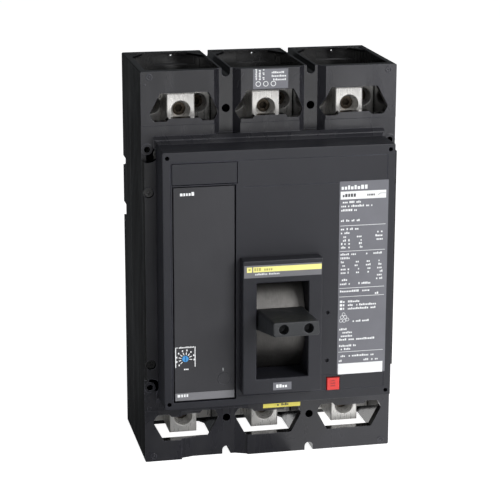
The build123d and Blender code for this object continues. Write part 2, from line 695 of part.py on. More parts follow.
def arm_plane(x):
    """Plane on the crossbar axis whose (forward, up) axes are those of a closed contact arm."""
    tilt = radians(arm_open_at_rest)
    return Plane(origin=(x, -crossbar_depth, crossbar_z), x_dir=(0, -cos(tilt), -sin(tilt)), z_dir=(-1, 0, 0))


contact_back = fixed_contact_face + contact_gap - crossbar_depth
for number, pole_x in poles.items():
    with BuildPart() as contact_arm:
        for offset in (-7, 0, 7):
            with BuildSketch(arm_plane(pole_x + offset)):
                with BuildLine():
                    Polyline((8, 10), (-10, arm_tip), (-20, arm_tip), (-20, arm_tip - 15), (-7, 10),
                             close=True)
                make_face()
            extrude(amount=2.5, both=True)
        with BuildSketch(arm_plane(pole_x)):
            with Locations((0, 10)):
                Rectangle(14, 14)
        extrude(amount=9.5, both=True)
        rod_x(crossbar_radius, (pole_x - 20, pole_x + 20), crossbar_depth, crossbar_z, Mode.SUBTRACT)
    save(contact_arm, f"contact_arm_{number}")

    with BuildPart() as arc_chute:
        for x in (pole_x - arc_chute_half, pole_x + arc_chute_half - 2):
            block((x, x + 2), (22, 95), arc_chute_z)
        for step in range(arc_plates):
            depth = 26 + arc_plate_pitch * step
            block(around(pole_x, arc_chute_half - 2), (depth, depth + 1.6), arc_chute_z)
        block(around(pole_x, 7), (21, 101), (arc_chute_z[0] - 1, arc_chute_z[0] + 8), Mode.SUBTRACT)
    save(arc_chute, f"arc_chute_{number}")

with BuildPart() as current_transformers:
    for pole_x in poles.values():
        block(around(pole_x, 24.8), (floor_depth, 40), transformer_z)
        block(around(pole_x, load_strap_half + 1), (12, 24), widened(transformer_z, 1), Mode.SUBTRACT)
    chamfer(current_transformers.edges().filter_by(Axis.Z), 0.8)
save(current_transformers, "current_transformers")

with BuildPart() as moving_contacts:
    for pole_x in poles.values():
        with BuildSketch(arm_plane(pole_x)):
            with BuildLine():
                Polyline((contact_back, arm_tip - 14), (contact_back, arm_tip - 2), (-20, arm_tip - 2),
                         (-20, arm_tip - 14), close=True)
            make_face()
        extrude(amount=9.5, both=True)
save(moving_contacts, "moving_contacts")

with BuildPart() as flexible_shunts:
    for pole_x in poles.values():
        block(around(pole_x, shunt_half), shunt_depth, (load_post_z[0], -6))
        block(around(pole_x, shunt_half), (shunt_depth[1], 36), (-8.5, -6))
        fillet(flexible_shunts.edges().filter_by(Axis.X).group_by(Axis.Z)[-1].group_by(Axis.Y)[-1], 1.2)
save(flexible_shunts, "flexible_shunts")

with BuildPart() as crossbar:
    rod_x(crossbar_radius, (-98, 98), crossbar_depth, crossbar_z)
save(crossbar, "crossbar")

# ---------------------------------------------------------------- operating mechanism
lever_pin = (crossbar_depth + lever_reach * cos(radians(lever_rise)),
             crossbar_z + lever_reach * sin(radians(lever_rise)))
knee = (lever_pin[0] + knee_offset[0], lever_pin[1] + knee_offset[1])

with BuildPart() as crossbar_levers:
    for x, pin in ((11, (11, 16)), (-13, (-16, -11))):
        with BuildSketch(swing_plane(x, crossbar_depth, crossbar_z, lever_rise)):
            with Locations((lever_reach / 2, 0)):
                Rectangle(lever_reach, 12)
            with Locations((lever_reach, 0)):
                Circle(6)
        extrude(amount=2)
        rod_x(2.5, pin, lever_pin[0], lever_pin[1])
    rod_x(crossbar_radius, (-20, 20), crossbar_depth, crossbar_z, Mode.SUBTRACT)
save(crossbar_levers, "crossbar_levers")

link_length = sqrt((knee[0] - lever_pin[0]) ** 2 + (knee[1] - lever_pin[1]) ** 2)
link_rise = -degrees(asin((lever_pin[1] - knee[1]) / link_length))
with BuildPart() as toggle_links:
    for x in (13.6, -15.6):
        with BuildSketch(swing_plane(x, lever_pin[0], lever_pin[1], link_rise)):
            with Locations((link_length / 2, 0)):
                SlotCenterToCenter(link_length, 9)
            Circle(2.55, mode=Mode.SUBTRACT)
        extrude(amount=2)
    rod_x(2.4, (-15.6, 15.6), knee[0], knee[1])
save(toggle_links, "toggle_links")

with BuildPart() as cradle:
    with BuildSketch(Plane.YZ.offset(-3)):
        with Locations((-cradle_depth, sum(cradle_z) / 2)):
            SlotCenterToCenter(cradle_z[1] - cradle_z[0], 12, rotation=90)
        with Locations((-cradle_depth, cradle_z[0])):
            Circle(2.55, mode=Mode.SUBTRACT)
    extrude(amount=6)
save(cradle, "cradle")

with BuildPart() as mechanism_plates:
    for x in (-plate_x[1], plate_x[0]):
        with BuildSketch(Plane.YZ.offset(x)):
            with BuildLine():
                Polyline((-floor_depth, -54), (-floor_depth, 4), (-66, 14), (-106, -14), (-106, -66),
                         (-74, -78), close=True)
            make_face()
            with Locations((-crossbar_depth, crossbar_z)):
                Circle(crossbar_radius + 0.05, mode=Mode.SUBTRACT)
            with Locations((-handle_pivot_depth, handle_pivot_z)):
                Circle(pivot_pin_radius, mode=Mode.SUBTRACT)
            with Locations((-cradle_depth, cradle_z[0])):
                Circle(2.5, mode=Mode.SUBTRACT)
        extrude(amount=plate_x[1] - plate_x[0])
save(mechanism_plates, "mechanism_plates")

with BuildPart() as main_springs:
    rise = radians(handle_rest)
    hook = (handle_pivot_depth + spring_seat * cos(rise), handle_pivot_z + spring_seat * sin(rise))
    run = (hook[0] - knee[0], hook[1] - knee[1])
    length = sqrt(run[0] ** 2 + run[1] ** 2)
    aim = (0, -run[0] / length, run[1] / length)
    coil_run = length - 8
    for x in (-8, 8):
        start = (x, -knee[0] + 4 * aim[1], knee[1] + 4 * aim[2])
        with BuildLine() as coil:
            Helix(pitch=coil_run / spring_turns, height=coil_run, radius=3.4, center=start, direction=aim)
        with BuildSketch(Plane(origin=coil.line @ 0, z_dir=coil.line % 0)):
            Circle(0.8)
        sweep()
save(main_springs, "main_springs")

# ---------------------------------------------------------------- fasteners
with BuildPart() as case_screws:
    for x in (-case_screw_x, case_screw_x):
        for z in case_screw_z:
            rod_y(2.2, x, (24, case_head_back), z)
            rod_y(3.8, x, (case_head_back, case_head_back + 2.3), z)
            for width, height in ((3.8, 0.9), (0.9, 3.8)):
                block(around(x, width / 2), (case_head_back + 1, middle_depth + 1), around(z, height / 2),
                      Mode.SUBTRACT)
save(case_screws, "case_screws")

with BuildPart() as case_inserts:
    for x in (-case_screw_x, case_screw_x):
        for z in case_screw_z:
            rod_y(2.8, x, (23, base_depth - 1), z)
            rod_y(2.2, x, (22, base_depth), z, Mode.SUBTRACT)
save(case_inserts, "case_inserts")

with BuildPart() as cover_screws:
    for x in (-cover_screw_x, cover_screw_x):
        for z in (-cover_screw_z, cover_screw_z):
            rod_y(1.4, x, (100, 114), z)
            rod_y(1.7, x, (114, 117), z)
            block(around(x, 1.2), (116, 118), around(z, 0.25), Mode.SUBTRACT)
save(cover_screws, "cover_screws")

# ---------------------------------------------------------------- labels
labels = {
    "nameplate": ((48.7, 89.3), cover_depth, 0.25, (-84.8, 77.0)),
    "escutcheon_label": ((-31.6, 31.6), escutcheon_depth, 0.25, (4.6, 14.8)),
    "rating_plate": ((-7.6, 7.6), escutcheon_depth, 0.35, (-90.6, -84.2)),
    "trip_rating_label": ((-85.5, -37.0), trip_face_depth, 0.2, (-98.8, -92.4)),
    "pole_label": ((-14.2, 14.6), lug_cover_depth, 0.2, (147.3, 163.2)),
    "lower_strip_label": ((-4.8, 27.2), lug_cover_depth, 0.2, (-123.8, -120.2)),
}
for node, (x, depth, thickness, z) in labels.items():
    with BuildPart() as label:
        block(x, (depth, depth + thickness), z)
    save(label, node)
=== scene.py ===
"""Looks for a three-pole molded case circuit breaker: materials, printed labels, floor, light and camera."""
import bmesh
import bpy
import math
import random
from mathutils import Matrix, Vector


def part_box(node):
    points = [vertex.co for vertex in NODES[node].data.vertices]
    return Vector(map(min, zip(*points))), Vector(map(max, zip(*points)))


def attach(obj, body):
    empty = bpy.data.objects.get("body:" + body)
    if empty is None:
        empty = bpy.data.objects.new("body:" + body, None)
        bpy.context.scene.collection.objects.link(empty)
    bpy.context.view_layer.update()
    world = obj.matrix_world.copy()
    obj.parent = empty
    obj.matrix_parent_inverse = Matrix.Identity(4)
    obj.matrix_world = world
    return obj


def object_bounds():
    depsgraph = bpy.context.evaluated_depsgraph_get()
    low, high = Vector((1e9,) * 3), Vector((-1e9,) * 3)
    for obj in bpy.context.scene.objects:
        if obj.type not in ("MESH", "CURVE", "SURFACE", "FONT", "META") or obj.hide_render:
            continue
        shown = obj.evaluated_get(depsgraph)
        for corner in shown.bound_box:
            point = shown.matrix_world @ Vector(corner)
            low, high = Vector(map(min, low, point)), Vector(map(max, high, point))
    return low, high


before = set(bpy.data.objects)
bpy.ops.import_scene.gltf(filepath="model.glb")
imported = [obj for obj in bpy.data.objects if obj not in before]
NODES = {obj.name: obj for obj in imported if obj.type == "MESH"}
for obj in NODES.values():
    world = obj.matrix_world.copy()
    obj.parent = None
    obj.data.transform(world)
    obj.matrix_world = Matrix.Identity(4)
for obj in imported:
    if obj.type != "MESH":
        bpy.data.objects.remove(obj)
cad_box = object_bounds()

MM = 0.001
rng = random.Random(11)

# ---------------------------------------------------------------- material building


class Surface:
    """A Principled material with short ways to wire its nodes. Textures use object coordinates, in metres."""

    def __init__(self, name, metallic=0.0):
        self.material = bpy.data.materials.new(name)
        self.material.use_nodes = True
        self.tree = self.material.node_tree
        self.shader = self.tree.nodes["Principled BSDF"]
        self.shader.inputs["Metallic"].default_value = metallic
        self.place = self.tree.nodes.new("ShaderNodeTexCoord").outputs["Object"]

    def add(self, kind, **settings):
        node = self.tree.nodes.new(kind)
        for key, value in settings.items():
            setattr(node, key, value)
        return node

    def join(self, source, target):
        self.tree.links.new(source, target)

    def noise(self, scale, detail=3.0, rough=0.55, stretch=(1, 1, 1), seed=0.0, warp=0.0):
        """Grey noise whose features are about 1/scale metres across, drawn out along an axis by `stretch`."""
        mapping = self.add("ShaderNodeMapping")
        mapping.inputs["Scale"].default_value = stretch
        mapping.inputs["Location"].default_value = (seed, seed * 1.7, seed * 0.6)
        self.join(self.place, mapping.inputs["Vector"])
        texture = self.add("ShaderNodeTexNoise")
        texture.inputs["Scale"].default_value = scale
        texture.inputs["Detail"].default_value = detail
        texture.inputs["Roughness"].default_value = rough
        texture.inputs["Distortion"].default_value = warp
        self.join(mapping.outputs["Vector"], texture.inputs["Vector"])
        return texture.outputs["Fac"]

    def scale_range(self, source, low, high, to_low=0.0, to_high=1.0):
        node = self.add("ShaderNodeMapRange", interpolation_type="SMOOTHSTEP")
        node.inputs["From Min"].default_value = low
        node.inputs["From Max"].default_value = high
        node.inputs["To Min"].default_value = to_low
        node.inputs["To Max"].default_value = to_high
        self.join(source, node.inputs["Value"])
        return node.outputs["Result"]

    def combine(self, operation, a, b):
        """Math on two values; either may be a number or a socket."""
        node = self.add("ShaderNodeMath", operation=operation)
        for value, socket in ((a, node.inputs[0]), (b, node.inputs[1])):
            if isinstance(value, (int, float)):
                socket.default_value = value
            else:
                self.join(value, socket)
        return node.outputs[0]

    def blend(self, factor, first, second):
        """Mix of two colours; each is an RGB triple or a socket."""
        node = self.add("ShaderNodeMix", data_type="RGBA")
        self.join(factor, node.inputs["Factor"])
        for value, socket in ((first, node.inputs[6]), (second, node.inputs[7])):
            if isinstance(value, tuple):
                socket.default_value = (*value, 1.0)
            else:
                self.join(value, socket)
        return node.outputs[2]

    def rounded(self, radius):
        """Normals as if the edges were rounded, and a mask that is 1 on those edges."""
        bevel = self.add("ShaderNodeBevel", samples=6)
        bevel.inputs["Radius"].default_value = radius
        geometry = self.add("ShaderNodeNewGeometry")
        dot = self.add("ShaderNodeVectorMath", operation="DOT_PRODUCT")
        self.join(bevel.outputs["Normal"], dot.inputs[0])
        self.join(geometry.outputs["Normal"], dot.inputs[1])
        return bevel.outputs["Normal"], self.scale_range(dot.outputs["Value"], 0.98, 0.80)

    def axis(self, name):
        """One object coordinate, in metres."""
        if not hasattr(self, "split"):
            self.split = self.add("ShaderNodeSeparateXYZ")
            self.join(self.place, self.split.inputs[0])
        return self.split.outputs[name]

    def hollow(self, reach):
        """1 in open places, falling to 0 deep in holes and corners."""
        node = self.add("ShaderNodeAmbientOcclusion", samples=8)
        node.inputs["Distance"].default_value = reach
        return node.outputs["AO"]

    def facing_front(self):
        """1 on faces that look towards -Y, 0 on the rest."""
        geometry = self.add("ShaderNodeNewGeometry")
        split = self.add("ShaderNodeSeparateXYZ")
        self.join(geometry.outputs["True Normal"], split.inputs[0])
        return self.scale_range(split.outputs["Y"], -0.45, -0.55)

    def bump(self, height, distance, normal=None, strength=1.0):
        node = self.add("ShaderNodeBump")
        node.inputs["Strength"].default_value = strength
        node.inputs["Distance"].default_value = distance
        self.join(height, node.inputs["Height"])
        if normal is not None:
            self.join(normal, node.inputs["Normal"])
        return node.outputs["Normal"]

    def finish(self, colour, roughness, normal):
        self.join(colour, self.shader.inputs["Base Color"])
        self.join(roughness, self.shader.inputs["Roughness"])
        self.join(normal, self.shader.inputs["Normal"])
        return self.material


def tinted(colour, factor):
    return tuple(min(1.0, c * factor) for c in colour)


def moulded(name, colour, roughness, grain=2400, grain_depth=0.00002, edge=0.0007, edge_highlight_gain=1.7, smear=0.10,
            seed=0.0, variation=0.12, painted_shade=None, specks=0.35, specular=0.5, seam_highlight_y=None):
    """Moulded thermoset or thermoplastic: spark-eroded grain, faint flow marks, handling smears, worn edges
    lightened partly as wear and mostly as a painted highlight.

    `painted_shade` is (colour, roughness, y): painted shade, the dark colour and roughness given to the faces
    behind y and to those that don't look forwards.
    `seam_highlight_y` is the y of a parting line painted pale as a highlight.
    """
    s = Surface(name)
    s.shader.inputs["Specular IOR Level"].default_value = specular
    flow = s.noise(7, 3, 0.6, seed=seed, warp=0.4)
    patches = s.noise(45, 4, 0.6, seed=seed + 3)
    fine = s.noise(grain, 2, 0.6, seed=seed + 5)
    speck = s.noise(900, 3, 0.7, seed=seed + 9)
    normal, edges = s.rounded(edge)
    darker, lighter = tinted(colour, 1 - variation), tinted(colour, 1 + variation)
    tone = s.blend(s.scale_range(flow, 0.3, 0.7), darker, lighter)
    dusty = s.scale_range(speck, 0.66, 0.78, 0.0, specks)
    tone = s.blend(dusty, tone, tinted(colour, 2.6))
    smears = s.noise(16, 5, 0.65, stretch=(1.0, 1.0, 0.35), seed=seed + 7, warp=1.2)
    gloss = s.scale_range(smears, 0.35, 0.65, roughness - smear, roughness + smear)
    # Painted shade: the faces behind y, and the faces that don't look forwards, are painted near black.
    if painted_shade:
        painted_shade_colour, painted_shade_roughness, limit = painted_shade
        depth = s.scale_range(s.axis("Y"), limit, limit + 0.001, 1.0, 0.0)
        outer = s.combine("MULTIPLY", depth, s.facing_front())
        tone = s.blend(outer, painted_shade_colour, tone)
        gloss = s.combine("ADD", s.combine("MULTIPLY", outer, gloss),
                          s.combine("MULTIPLY", s.combine("SUBTRACT", 1.0, outer), painted_shade_roughness))
    # Painted highlight: a pale line along the parting seam.
    if seam_highlight_y:
        line = s.combine("ABSOLUTE", s.combine("SUBTRACT", s.axis("Y"), seam_highlight_y), 0.0)
        tone = s.blend(s.scale_range(line, 0.0004, 0.0014, 0.55, 0.0), tone, tinted(colour, 4))
    # Painted highlight, partly wear: the bevelled edges are lightened in patches by the edge gain.
    edge_wear_and_highlight = s.combine("MULTIPLY", edges, s.scale_range(patches, 0.35, 0.65, 0.35, 0.9))
    tone = s.blend(edge_wear_and_highlight, tone, tinted(colour, edge_highlight_gain))
    gloss = s.combine("SUBTRACT", gloss, s.combine("MULTIPLY", edges, 0.08))
    height = s.combine("ADD", s.combine("MULTIPLY", fine, 1.0), s.combine("MULTIPLY", patches, 0.6))
    return s.finish(tone, gloss, s.bump(height, grain_depth, normal))


def metal(name, colour, roughness, streak=(1, 1, 1), streak_scale=400, streak_depth=0.00001, blotch=0.12,
          edge=0.0004, seed=0.0, dark=0.7, anisotropy=0.0, painted_hollow_shade=None, metallic=1.0):
    """Bare or plated metal with machining or drawing streaks, tarnish blotches and bright edges.

    `painted_hollow_shade` is (reach, colour): painted shade, how far from an opening the metal keeps its
    colour, and the dark colour painted deep inside.
    """
    s = Surface(name, metallic=metallic)
    s.shader.inputs["Anisotropic"].default_value = anisotropy
    streaks = s.noise(streak_scale, 4, 0.65, stretch=streak, seed=seed)
    cloud = s.noise(60, 4, 0.6, seed=seed + 2, warp=0.6)
    pits = s.noise(1500, 2, 0.5, seed=seed + 4)
    normal, edges = s.rounded(edge)
    tone = s.blend(s.scale_range(cloud, 0.35, 0.68), tinted(colour, dark), colour)
    tone = s.blend(s.scale_range(streaks, 0.3, 0.7, 0.0, 0.5), tone, tinted(colour, 0.82))
    tone = s.blend(s.combine("MULTIPLY", edges, 0.7), tone, tinted(colour, 1.15))
    # Painted shade: the colour darkens deep in holes and corners, by ambient occlusion.
    if painted_hollow_shade:
        tone = s.blend(s.scale_range(s.hollow(painted_hollow_shade[0]), 0.25, 0.75), painted_hollow_shade[1], tone)
    rough = s.scale_range(streaks, 0.3, 0.7, roughness - blotch, roughness + blotch)
    rough = s.combine("ADD", rough, s.scale_range(pits, 0.55, 0.8, 0.0, 0.15))
    height = s.combine("ADD", streaks, s.combine("MULTIPLY", pits, 0.7))
    return s.finish(tone, rough, s.bump(height, streak_depth, normal))


def printed(name, colour, roughness=0.42, seed=0.0, fleck=0.06):
    """Printed polyester film: nearly even ink, a slight orange-peel surface and faint scuffing."""
    s = Surface(name)
    tone_noise = s.noise(35, 4, 0.6, seed=seed)
    peel = s.noise(1300, 2, 0.5, seed=seed + 2)
    scuff = s.noise(120, 5, 0.7, stretch=(0.2, 1, 1), seed=seed + 4, warp=0.8)
    tone = s.blend(s.scale_range(tone_noise, 0.3, 0.7), tinted(colour, 1 - fleck), tinted(colour, 1 + fleck))
    tone = s.blend(s.scale_range(scuff, 0.62, 0.74, 0.0, 0.25), tone, tinted(colour, 1.25))
    rough = s.scale_range(scuff, 0.35, 0.7, roughness - 0.06, roughness + 0.14)
    return s.finish(tone, rough, s.bump(peel, 0.000008))


def clear_lens(name, colour):
    s = Surface(name)
    s.shader.inputs["Transmission Weight"].default_value = 0.6
    haze = s.noise(700, 3, 0.5)
    tone = s.blend(haze, tinted(colour, 0.9), colour)
    return s.finish(tone, s.scale_range(haze, 0.3, 0.7, 0.15, 0.3), s.bump(haze, 0.00001))


def floor_paper(name):
    """Pale backlit floor, as on a light table."""
    s = Surface(name)
    s.shader.inputs["Emission Color"].default_value = (1, 1, 1, 1)
    s.shader.inputs["Emission Strength"].default_value = FLOOR_GLOW
    s.shader.inputs["Specular IOR Level"].default_value = 0.2
    fibre = s.noise(220, 4, 0.6)
    broad = s.noise(2.0, 2, 0.5)
    tone = s.blend(broad, (0.80, 0.80, 0.80), (0.84, 0.84, 0.84))
    return s.finish(tone, s.scale_range(fibre, 0.3, 0.7, 0.75, 0.9), s.bump(fibre, 0.00002))


FLOOR_GLOW = 0.93
# Near black, painted as shade on the case's deep faces and on its faces that don't look forwards.
PAINTED_SHADE_BLACK = (0.0035, 0.0035, 0.004)
# The edge gain lightens each moulding's bevelled edges as a painted highlight, partly wear.
BASE = moulded("base_thermoset_black", (0.0045, 0.0045, 0.005), 0.20, edge=0.0005, edge_highlight_gain=22.0, smear=0.08,
               seed=1.0, specks=0.2)
CASE = moulded("case_thermoset_grey", (0.021, 0.021, 0.0255), 0.30, edge=0.0005, edge_highlight_gain=8.0, smear=0.13,
               seed=2.0, variation=0.30, painted_shade=(PAINTED_SHADE_BLACK, 0.14, -0.0965))
# The sides carry a parting line painted pale as a highlight.
SIDE = moulded("side_thermoset_black", (0.0165, 0.017, 0.0175), 0.50, edge=0.0005, edge_highlight_gain=14.0, smear=0.12,
               seed=12.0, variation=0.35, specular=0.14, seam_highlight_y=-0.042)
COVER = moulded("cover_fine_grain", (0.0145, 0.015, 0.0205), 0.50, grain=1500, grain_depth=0.00006,
                edge=0.0004, edge_highlight_gain=7.0, smear=0.06, seed=3.0, specks=0.6)
TRIP = moulded("trip_unit_fine_grain", (0.0305, 0.0305, 0.0355), 0.56, grain=1500, grain_depth=0.00005,
              edge=0.0004, edge_highlight_gain=3.0, smear=0.06, seed=4.0, specks=0.2)
HANDLE = moulded("handle_satin_black", (0.022, 0.024, 0.027), 0.46, grain=1200, grain_depth=0.00005,
                edge=0.0010, edge_highlight_gain=4.5, smear=0.10, seed=5.0)
THERMOSET = moulded("crossbar_thermoset", (0.075, 0.055, 0.040), 0.5, seed=6.0)
RED = moulded("button_red", (0.62, 0.035, 0.03), 0.38, edge=0.0005, edge_highlight_gain=1.4, seed=7.0)
BLUE = moulded("dial_blue", (0.055, 0.30, 0.66), 0.35, edge=0.0003, edge_highlight_gain=1.6, seed=8.0)
BOARD = moulded("solder_mask_green", (0.02, 0.13, 0.05), 0.4, seed=9.0)
POTTING = moulded("potting_resin", (0.05, 0.05, 0.055), 0.45, seed=10.0)
SLIDER = metal("slider_brushed_steel", (0.15, 0.145, 0.14), 0.52, streak=(1.0, 0.05, 0.05), streak_scale=2600,
               streak_depth=0.000012, blotch=0.08, seed=1.0, dark=0.80)
LUG = metal("lug_tinned_aluminium", (0.80, 0.785, 0.76), 0.33, streak=(1.0, 1.0, 0.12), streak_scale=700,
            streak_depth=0.00003, blotch=0.10, edge=0.0007, seed=2.0, dark=0.85,
            painted_hollow_shade=(0.005, (0.30, 0.28, 0.25)), metallic=0.6)
SET_SCREW = metal("set_screw_dark_plate", (0.11, 0.09, 0.07), 0.36, streak_scale=900, seed=3.0, dark=0.6,
                  painted_hollow_shade=(0.006, (0.012, 0.010, 0.008)))
STEEL = metal("zinc_plated_steel", (0.56, 0.56, 0.55), 0.34, streak=(1, 0.2, 1), streak_scale=500, seed=4.0)
SCREW = metal("blackened_screw_steel", (0.10, 0.10, 0.10), 0.36, streak_scale=900, seed=5.0, dark=0.6)
COPPER = metal("bare_copper", (0.72, 0.36, 0.24), 0.34, streak=(1, 1, 0.15), seed=6.0)
SILVER = metal("contact_silver", (0.80, 0.79, 0.76), 0.35, seed=7.0)
BRASS = metal("turned_brass", (0.72, 0.52, 0.24), 0.32, seed=8.0)
LABEL = printed("label_film_grey", (0.148, 0.150, 0.170), 0.5, seed=1.0)
BAND = printed("band_film_grey", (0.165, 0.165, 0.178), 0.45, seed=2.0)
STRIP = printed("strip_film_yellow", (0.84, 0.74, 0.13), 0.45, seed=3.0)
INK_WHITE = printed("ink_white", (0.80, 0.81, 0.82), 0.5, seed=4.0)
INK_DARK = printed("ink_dark", (0.05, 0.05, 0.055), 0.5, seed=6.0)
INK_YELLOW = printed("ink_yellow", (0.90, 0.84, 0.28), 0.4, seed=7.0)
INK_RED = printed("ink_dark_red", (0.25, 0.02, 0.02), 0.5, seed=8.0)
LENS = clear_lens("lens_clear", (0.75, 0.78, 0.8))

NODE_MATERIALS = {
    "base_case": BASE, "front_case": CASE, "accessory_cover": COVER, "blank_panel": COVER,
    "handle_escutcheon": COVER, "trip_unit_face": TRIP, "trip_unit_housing": POTTING, "handle": HANDLE,
    "handle_slider": SLIDER, "nameplate": LABEL, "pole_label": LABEL, "rating_plate": LABEL,
    "trip_rating_label": BAND, "escutcheon_label": BAND, "lower_strip_label": STRIP, "status_lens": LENS,
    "trip_dial": BLUE, "trip_button": RED, "trip_circuit_board": BOARD, "crossbar": THERMOSET,
    "trip_bar": THERMOSET, "trip_brackets": THERMOSET, "well_supports": BASE,
    "trip_actuator": POTTING, "current_transformers": POTTING, "fixed_contacts": SILVER,
    "moving_contacts": SILVER, "case_inserts": BRASS, "flexible_shunts": COPPER, "case_screws": SCREW,
    "cover_screws": SCREW, "line_binding_screws": SET_SCREW, "load_binding_screws": SET_SCREW,
}


def material_of(node):
    if node in NODE_MATERIALS:
        return NODE_MATERIALS[node]
    if "_lug_" in node:
        return LUG
    if "_strap_" in node or node.startswith("contact_arm"):
        return COPPER
    return STEEL


for node_name, node_object in NODES.items():
    node_object.data.materials.clear()
    node_object.data.materials.append(material_of(node_name))

# The outer sides of the case are matt, with a finish of their own
SIDE_SKIN = 0.0015
SIDE_FACING = 0.6
SIDE_X = cad_box[1][0] - SIDE_SKIN
for node_name in ("base_case", "front_case"):
    mesh = NODES[node_name].data
    mesh.materials.append(SIDE)
    for polygon in mesh.polygons:
        if abs(polygon.normal.x) > SIDE_FACING and abs(polygon.center.x) > SIDE_X:
            polygon.material_index = 1

# ---------------------------------------------------------------- printed detail, as thin raised ink
INK_THICKNESS = 0.00005
TOP_INK_THICKNESS = 0.00003     # of ink printed on other ink


def new_piece(name, mesh_builder, material, body):
    mesh = bpy.data.meshes.new(name)
    shape = bmesh.new()
    mesh_builder(shape)
    bmesh.ops.recalc_face_normals(shape, faces=shape.faces)
    shape.to_mesh(mesh)
    shape.free()
    piece = bpy.data.objects.new(name, mesh)
    bpy.context.scene.collection.objects.link(piece)
    mesh.materials.append(material)
    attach(piece, body)
    return piece


def add_slab(shape, outline, front_y, thickness):
    """A flat slab with the given (x, z) outline whose front lies at front_y - thickness."""
    near = [shape.verts.new((x, front_y - thickness, z)) for x, z in outline]
    far = [shape.verts.new((x, front_y, z)) for x, z in outline]
    shape.faces.new(near)
    shape.faces.new(list(reversed(far)))
    count = len(outline)
    for i in range(count):
        j = (i + 1) % count
        shape.faces.new((near[i], far[i], far[j], near[j]))


def rectangle(x0, x1, z0, z1):
    return [(x0, z0), (x1, z0), (x1, z1), (x0, z1)]


def turned(outline, centre, angle):
    """The outline turned about its own origin and moved to centre."""
    c, s = math.cos(angle), math.sin(angle)
    return [(centre[0] + x * c - z * s, centre[1] + x * s + z * c) for x, z in outline]


def ring(centre, radius, width, steps=28):
    """Small slabs that make up a ring."""
    parts = []
    for i in range(steps):
        a = 2 * math.pi * i / steps
        half = math.pi * radius / steps * 1.05
        spot = (centre[0] + radius * math.cos(a), centre[1] + radius * math.sin(a))
        parts.append(turned(rectangle(-half, half, -width / 2, width / 2), spot, a + math.pi / 2))
    return parts


def glyph_row(x0, x1, z, height, skip=0.14):
    """A row of small blocks that reads as a line of fine print from afar, with no letters in it."""
    outlines = []
    x = x0
    while x < x1 - 0.5 * height:
        width = height * rng.uniform(0.42, 0.72)
        if rng.random() > skip:
            tall = height * rng.choice((0.72, 0.72, 1.0))
            outlines.append(rectangle(x, min(x + width, x1), z, z + tall))
        x += width + height * 0.24
    return outlines


def print_piece(name, outlines, front_y, material, thickness=INK_THICKNESS, body="root"):
    def build(shape):
        for outline in outlines:
            add_slab(shape, outline, front_y, thickness)
    return new_piece(name, build, material, body)


# Nameplate: heading, white field with a switch symbol, ruled table, wire symbol and a blank white field
low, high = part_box("nameplate")
left = low.x + 0.9 * MM
right = high.x - 2.0 * MM
top = high.z
face = low.y
white = [rectangle(left, right, top - 14.8 * MM, top - 8.3 * MM),
         rectangle(left, right, top - 162.2 * MM, top - 153.0 * MM)]
for drop in (36.4, 57.6, 88.6, 95.8, 142.8):
    white.append(rectangle(left, right, top - (drop + 0.35) * MM, top - drop * MM))
white += glyph_row(left + 0.6 * MM, left + 23 * MM, top - 6.8 * MM, 3.4 * MM, skip=0.0)
print_piece("nameplate_fields", white, face, INK_WHITE)

fine = []
text_rows = [
    (18.0, ((0.6, 17.5),)), (21.2, ((0.6, 26.5),)), (24.6, ((0.6, 13.5),)), (33.2, ((0.6, 17.0),)),
    (40.2, ((0.6, 15.5), (33.0, 36.0))), (43.4, ((0.6, 11.0), (31.0, 36.0))),
    (46.6, ((1.5, 5.0), (14.0, 19.0), (29.5, 36.0))),
    (49.6, ((0.9, 5.4), (7.0, 9.0), (15.8, 19.0), (30.5, 36.0))),
    (52.4, ((0.9, 5.4), (7.0, 9.0), (15.8, 19.0))), (55.4, ((0.9, 5.4), (7.0, 9.0), (16.6, 19.0))),
    (61.2, ((0.6, 15.5), (22.0, 25.0), (26.5, 36.0))), (64.4, ((0.6, 10.6),)),
    (67.6, ((1.0, 4.6), (13.5, 16.6), (22.6, 25.6), (32.5, 36.0))),
    (70.6, ((1.0, 4.6), (12.6, 16.8), (22.0, 26.4), (32.5, 36.0))),
    (73.6, ((1.0, 5.0), (6.8, 8.8), (13.8, 16.8), (23.4, 25.8), (31.5, 36.0))),
    (76.6, ((1.0, 5.0), (6.8, 8.8), (13.8, 16.8), (23.4, 25.8), (30.8, 36.0))), (79.6, ((31.5, 36.0),)),
    (82.6, ((0.6, 7.6), (30.8, 36.0))), (86.0, ((0.6, 9.6), (16.0, 27.0))),
    (92.2, ((0.6, 26.5),)), (95.0, ((30.0, 36.0),)),
    (101.0, ((3.4, 5.4), (7.5, 17.0))), (104.0, ((3.4, 5.4), (7.5, 31.0))),
    (107.0, ((3.4, 5.4), (7.5, 31.6))),
    (117.8, ((10.5, 25.5),)),
    (124.4, ((0.6, 7.2),)), (127.2, ((0.6, 13.0),)), (130.2, ((0.6, 12.2),)), (133.2, ((0.6, 31.0),)),
    (138.6, ((0.6, 15.8),)), (141.4, ((0.6, 10.0),)),
    (147.4, ((0.6, 30.0),)), (151.4, ((0.6, 3.6), (21.5, 25.5), (28.0, 34.0))),
]
for drop, words in text_rows:
    for start, end in words:
        fine += glyph_row(left + start * MM, left + end * MM, top - drop * MM, 1.75 * MM)
for drop in (101.0, 104.0, 107.0):
    fine.append(rectangle(left + 0.7 * MM, left + 2.8 * MM, top - drop * MM, top - (drop - 1.9) * MM))
for dx, dz in ((2.6, 113.2), (5.4, 113.2), (4.0, 110.8), (1.9, 116.2), (4.6, 116.4), (7.2, 115.4)):
    fine += ring((left + dx * MM, top - dz * MM), 1.25 * MM, 0.35 * MM, steps=14)
print_piece("nameplate_fine_print", fine, face, INK_WHITE)

